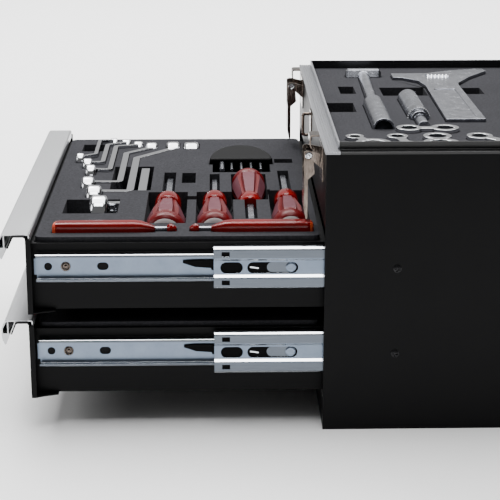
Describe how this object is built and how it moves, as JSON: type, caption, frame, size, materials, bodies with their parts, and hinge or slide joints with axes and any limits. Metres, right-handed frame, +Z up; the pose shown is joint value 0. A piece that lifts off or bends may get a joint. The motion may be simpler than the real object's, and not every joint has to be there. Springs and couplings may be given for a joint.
{
  "type": "toolbox with drawers",
  "caption": "Portable steel toolbox with a hinged lid, foam-lined top tray and full-extension drawers with aluminium pulls, shown open.",
  "frame": {"origin": "centre of the cabinet's underside, on the surface it stands on", "axes": "+Z up; -Y the front, where the drawers open; +X the right side seen from behind the open drawers' front, the side the picture shows"},
  "size_m": [0.399, 0.6129, 0.5157],
  "materials": {
    "black_steel": "satin black powder coat",
    "aluminium": "brushed, clear anodised",
    "zinc": "bright blue-white zinc",
    "nickel": "polished nickel plate",
    "tool_steel": "satin and polished chrome",
    "foam": "dark grey closed-cell foam",
    "red_plastic": "clear red acetate",
    "black_plastic": "moulded black"
  },
  "bodies": {
    "cabinet": {"side_panel_right": "black_steel", "side_panel_left": "black_steel", "back_panel": "black_steel", "base_pan": "black_steel", "tray_floor": "black_steel", "front_panel": "black_steel", "front_rim_rail": "aluminium", "tray_rim": "black_steel", "cabinet_screws": "black_steel", "hasp_staple": "nickel", "tray_foam": "foam", "socket_wrench": "tool_steel", "extension_bar": "tool_steel", "adjustable_wrench": "tool_steel", "ring_spanners": "tool_steel", "hinge_leaf_cabinet": "zinc", "hinge_pin": "zinc", "latch_base_left": "nickel", "latch_base_right": "nickel", "slide_outer_upper": "zinc", "slide_outer_lower": "zinc"},
    "lid": {"lid_shell": "black_steel", "hinge_leaf_lid": "zinc", "latch_catches": "nickel", "handle_brackets": "nickel"},
    "carry_handle": {"lid_handle": "nickel"},
    "drawer_upper": {"drawer_front_upper": "black_steel", "drawer_pull_upper": "aluminium", "drawer_box_upper": "black_steel", "drawer_rivets_upper": "zinc", "drawer_foam_upper": "foam", "driver_handles_upper": "red_plastic", "driver_blades_upper": "tool_steel", "slide_inner_upper_right": "zinc", "slide_inner_upper_left": "zinc", "wrench_set": "tool_steel", "key_holder": "black_plastic", "hex_keys": "tool_steel"},
    "slide_middles_upper": {"slide_middle_upper_right": "zinc", "slide_middle_upper_left": "zinc"},
    "cages_upper": {"ball_cages_upper": "zinc"},
    "releases_upper": {"release_levers_upper": "black_plastic"},
    "drawer_lower": {"drawer_front_lower": "black_steel", "drawer_pull_lower": "aluminium", "drawer_box_lower": "black_steel", "drawer_rivets_lower": "zinc", "drawer_foam_lower": "foam", "driver_handles_lower": "red_plastic", "driver_blades_lower": "tool_steel", "slide_inner_lower_right": "zinc", "slide_inner_lower_left": "zinc"},
    "slide_middles_lower": {"slide_middle_lower_right": "zinc", "slide_middle_lower_left": "zinc"},
    "cages_lower": {"ball_cages_lower": "zinc"},
    "releases_lower": {"release_levers_lower": "black_plastic"},
    "latch_left": {"latch_lever_left": "nickel"},
    "hook_left": {"latch_hook_left": "nickel"},
    "latch_right": {"latch_lever_right": "nickel"},
    "hook_right": {"latch_hook_right": "nickel"}
  },
  "joints": [
    {"name": "lid_hinge", "type": "hinge", "parent": "cabinet", "child": "lid", "pos_m": [0, 0.1386, 0.2418], "axis": [1, 0, 0], "range_deg": [0, 97]},
    {"name": "carry_handle_hinge", "type": "hinge", "parent": "lid", "child": "carry_handle", "pos_m": [0, 0.20253, 0.39072], "axis": [1, 0, 0], "range_deg": [-7, 83]},
    {"name": "drawer_upper_slide", "type": "slide", "parent": "cabinet", "child": "drawer_upper", "axis": [0, 1, 0], "range_m": [0, 0.2394]},
    {"name": "middle_upper_slide", "type": "slide", "parent": "cabinet", "child": "slide_middles_upper", "axis": [0, 1, 0], "range_m": [0, 0.09338]},
    {"name": "cage_upper_slide", "type": "slide", "parent": "cabinet", "child": "cages_upper", "axis": [0, 1, 0], "range_m": [0, 0.16639]},
    {"name": "release_upper_hinge", "type": "hinge", "parent": "drawer_upper", "child": "releases_upper", "pos_m": [0, -0.22464, 0.143], "axis": [1, 0, 0], "range_deg": [-7, 7], "stiffness_Nm_per_rad": 0.002},
    {"name": "drawer_lower_slide", "type": "slide", "parent": "cabinet", "child": "drawer_lower", "axis": [0, 1, 0], "range_m": [0, 0.2394]},
    {"name": "middle_lower_slide", "type": "slide", "parent": "cabinet", "child": "slide_middles_lower", "axis": [0, 1, 0], "range_m": [0, 0.09338]},
    {"name": "cage_lower_slide", "type": "slide", "parent": "cabinet", "child": "cages_lower", "axis": [0, 1, 0], "range_m": [0, 0.16639]},
    {"name": "release_lower_hinge", "type": "hinge", "parent": "drawer_lower", "child": "releases_lower", "pos_m": [0, -0.22464, 0.0685], "axis": [1, 0, 0], "range_deg": [-7, 7], "stiffness_Nm_per_rad": 0.002},
    {"name": "latch_left_hinge", "type": "hinge", "parent": "cabinet", "child": "latch_left", "pos_m": [-0.1495, -0.147, 0.2308], "axis": [-1, 0, 0], "range_deg": [-6, 90]},
    {"name": "hook_left_hinge", "type": "hinge", "parent": "latch_left", "child": "hook_left", "pos_m": [-0.1495, -0.1445, 0.2178], "axis": [1, 0, 0], "range_deg": [-6, 90]},
    {"name": "latch_right_hinge", "type": "hinge", "parent": "cabinet", "child": "latch_right", "pos_m": [0.1495, -0.147, 0.2308], "axis": [-1, 0, 0], "range_deg": [-6, 90]},
    {"name": "hook_right_hinge", "type": "hinge", "parent": "latch_right", "child": "hook_right", "pos_m": [0.1495, -0.1445, 0.2178], "axis": [1, 0, 0], "range_deg": [-6, 90]}
  ],
  "couplings": [
    {"joint": "middle_upper_slide", "follows": "drawer_upper_slide", "ratio": 0.39},
    {"joint": "cage_upper_slide", "follows": "drawer_upper_slide", "ratio": 0.695},
    {"joint": "middle_lower_slide", "follows": "drawer_lower_slide", "ratio": 0.39},
    {"joint": "cage_lower_slide", "follows": "drawer_lower_slide", "ratio": 0.695},
    {"joint": "hook_left_hinge", "follows": "latch_left_hinge", "ratio": 1},
    {"joint": "hook_right_hinge", "follows": "latch_right_hinge", "ratio": 1}
  ]
}
